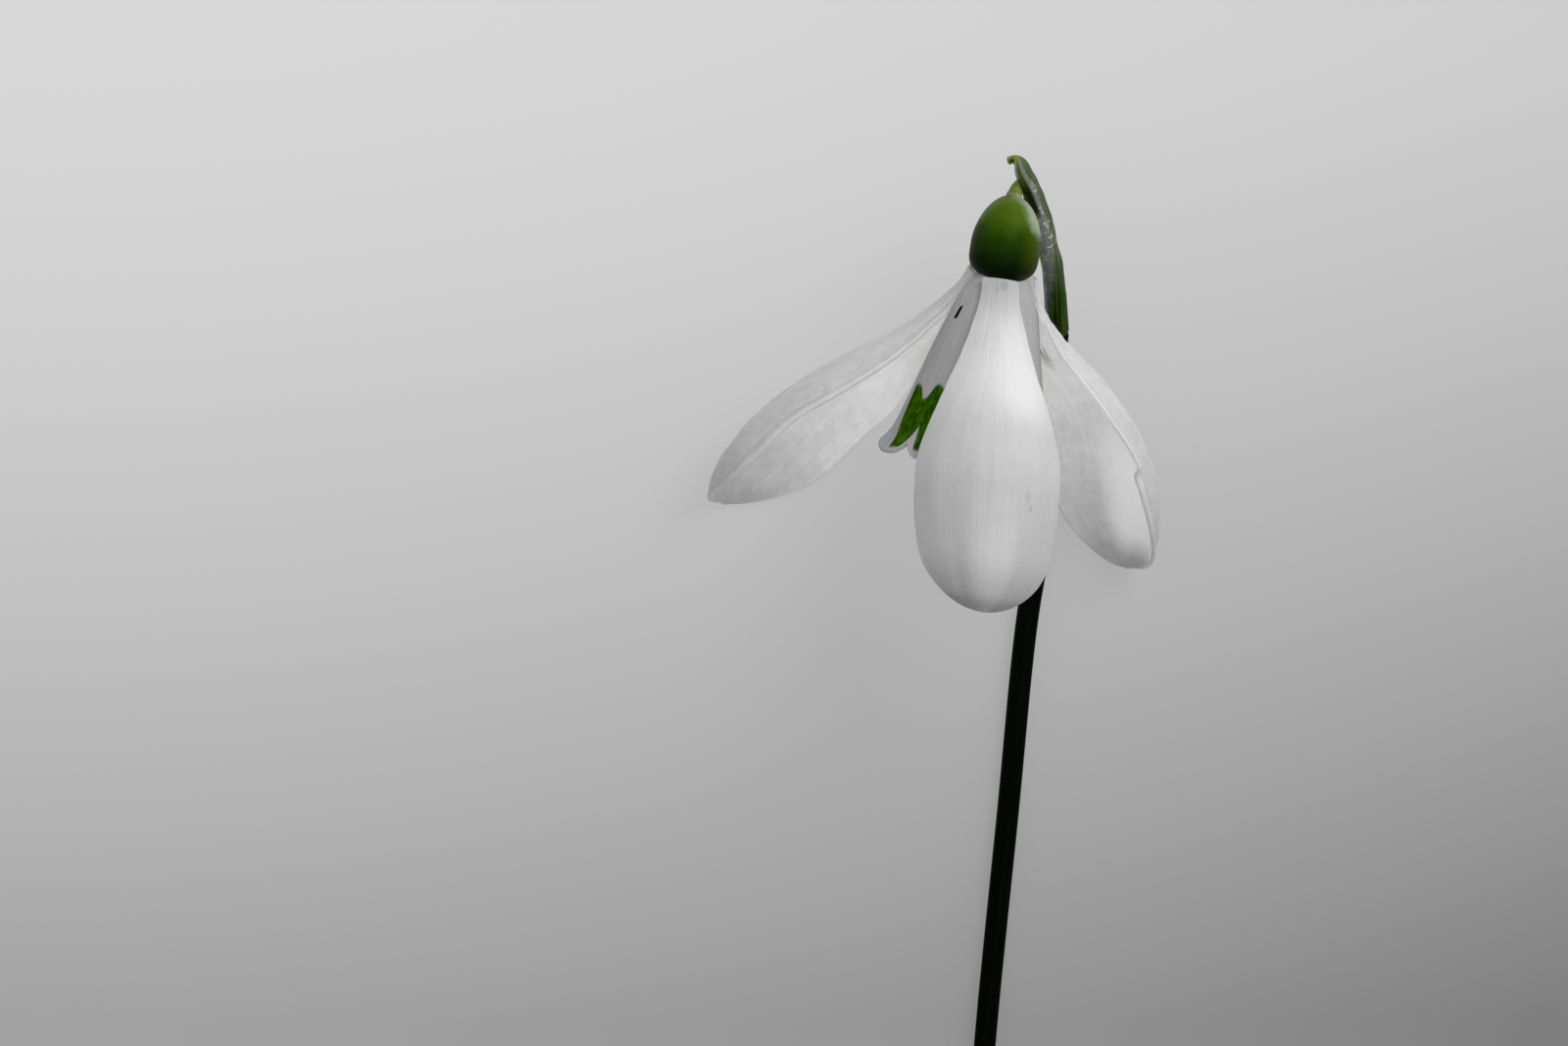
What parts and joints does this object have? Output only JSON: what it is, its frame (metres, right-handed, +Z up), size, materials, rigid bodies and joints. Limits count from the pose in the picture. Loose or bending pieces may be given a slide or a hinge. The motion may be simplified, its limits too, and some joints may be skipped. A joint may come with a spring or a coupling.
{
  "type": "snowdrop flower",
  "caption": "Single nodding snowdrop flower on its cut stem, laid down, with spread white outer tepals, short notched green-marked inner ones, a green ovary and a sheath.",
  "frame": {"origin": "middle of the flower's footprint on the surface it lies on", "axes": "+Z up from the surface; +Y along the stem from its cut end towards the sheath's tip; +X to the right seen from above"},
  "size_m": [0.0376, 0.0893, 0.0239],
  "materials": {
    "scape": "satin, very dark green living stem",
    "spathe": "thin translucent sheath with a green keel",
    "pedicel": "satin yellow-green stalk",
    "ovary": "waxy green, yellower towards the stalk",
    "outer_tepal": "soft matt white with fine lengthwise veins",
    "inner_tepal": "soft matt white with a green mark at the notch",
    "stamen": "matt orange-yellow pollen",
    "style": "matt pale green-white"
  },
  "bodies": {
    "root": {"scape": "scape", "spathe": "spathe", "pedicel": "pedicel", "ovary": "ovary", "outer_tepal_front": "outer_tepal", "outer_tepal_left": "outer_tepal", "outer_tepal_right": "outer_tepal", "inner_tepal_left": "inner_tepal", "inner_tepal_right": "inner_tepal", "inner_tepal_back": "inner_tepal", "stamen_1": "stamen", "stamen_2": "stamen", "stamen_3": "stamen", "stamen_4": "stamen", "stamen_5": "stamen", "stamen_6": "stamen", "style": "style"}
  },
  "joints": []
}
